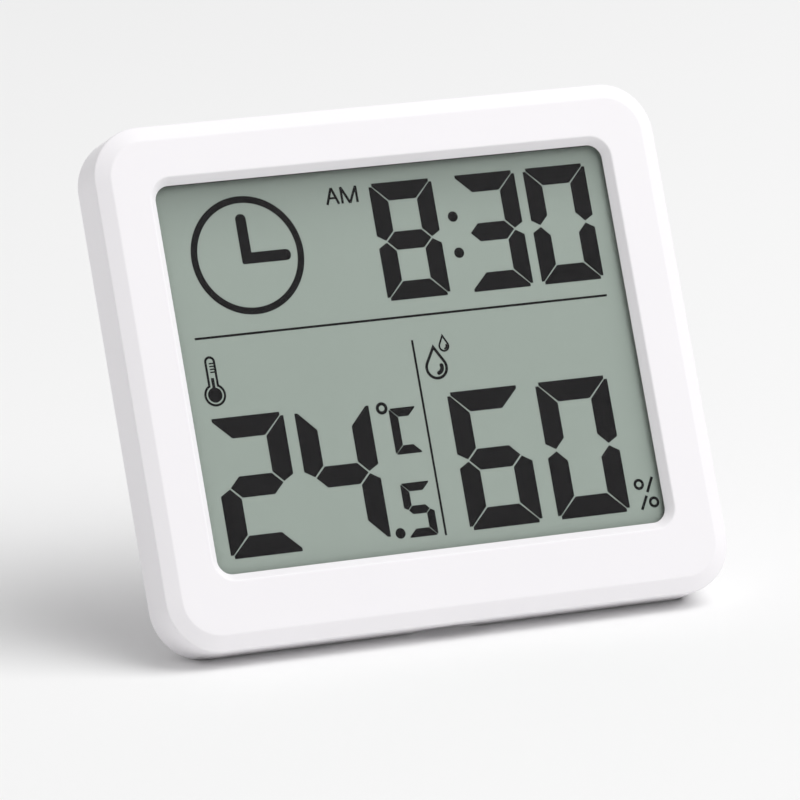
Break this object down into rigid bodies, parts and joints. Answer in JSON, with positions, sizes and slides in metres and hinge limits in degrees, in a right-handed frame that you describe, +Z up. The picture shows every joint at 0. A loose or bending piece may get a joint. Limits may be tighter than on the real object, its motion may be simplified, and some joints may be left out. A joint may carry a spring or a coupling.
{
  "type": "thermometer hygrometer clock",
  "caption": "Slim white desk clock with a liquid crystal display of time, temperature and humidity, leaning back on a fold-out rear stand.",
  "frame": {"origin": "on the floor, under the middle of the object's box as it stands on its leg", "axes": "+Z up, +X to the viewer's right across the front, +Y towards the back; the display faces -Y and leans back"},
  "size_m": [0.08, 0.0366, 0.0653],
  "materials": {
    "white_plastic": "fine matte moulded grain",
    "button_plastic": "satin",
    "polariser_film": "anti-glare film",
    "lcd_glass": "thin clear glass",
    "lcd_segments": "dark liquid crystal",
    "epoxy_seal": "cured epoxy",
    "lcd_reflector": "grey-green reflective film",
    "holder_plastic": "moulded",
    "zebra_rubber": "striped silicone",
    "board_laminate": "solder mask",
    "black_resin": "cured resin",
    "bright_metal": "bright can",
    "component_black": "moulded",
    "component_tan": "ceramic",
    "plunger_plastic": "moulded",
    "contact_metal": "nickel-plated spring strip",
    "cell_steel": "nickel-plated can",
    "screw_steel": "zinc-plated"
  },
  "bodies": {
    "case": {"front_shell": "white_plastic", "back_cover": "white_plastic", "lcd_front_polariser": "polariser_film", "lcd_front_glass": "lcd_glass", "lcd_segments": "lcd_segments", "lcd_seal": "epoxy_seal", "lcd_rear_glass": "lcd_glass", "lcd_reflector": "lcd_reflector", "lcd_holder": "holder_plastic", "zebra_strip": "zebra_rubber", "circuit_board": "board_laminate", "chip_blob": "black_resin", "quartz_crystal": "bright_metal", "humidity_sensor": "component_black", "temperature_sensor": "component_black", "capacitors": "component_tan", "resistors": "component_black", "cover_screws": "screw_steel", "board_screws": "screw_steel", "coin_cell": "cell_steel", "battery_negative_contact": "contact_metal", "battery_positive_contact": "contact_metal", "mode_switch": "component_black", "up_switch": "component_black", "down_switch": "component_black"},
    "stand": {"stand_leg": "white_plastic"},
    "battery_door": {"battery_door": "white_plastic"},
    "mode_button": {"mode_button": "button_plastic", "mode_plunger": "plunger_plastic"},
    "up_button": {"up_button": "button_plastic", "up_plunger": "plunger_plastic"},
    "down_button": {"down_button": "button_plastic", "down_plunger": "plunger_plastic"}
  },
  "joints": [
    {"name": "stand_fold", "type": "hinge", "parent": "case", "child": "stand", "pos_m": [0, 0.0054, 0.03449], "axis": [1, 0, 0], "range_deg": [-42, 0]},
    {"name": "mode_press", "type": "slide", "parent": "case", "child": "mode_button", "axis": [0, -0.9078, 0.4195], "range_m": [0, 0.0003], "stiffness_N_per_m": 6000},
    {"name": "up_press", "type": "slide", "parent": "case", "child": "up_button", "axis": [0, -0.9078, 0.4195], "range_m": [0, 0.0003], "stiffness_N_per_m": 6000},
    {"name": "down_press", "type": "slide", "parent": "case", "child": "down_button", "axis": [0, -0.9078, 0.4195], "range_m": [0, 0.0003], "stiffness_N_per_m": 6000},
    {"name": "door_turn", "type": "hinge", "parent": "case", "child": "battery_door", "pos_m": [0.0211, 0.00036, 0.02085], "axis": [0, 0.9078, -0.4195], "range_deg": [0, 40]}
  ]
}
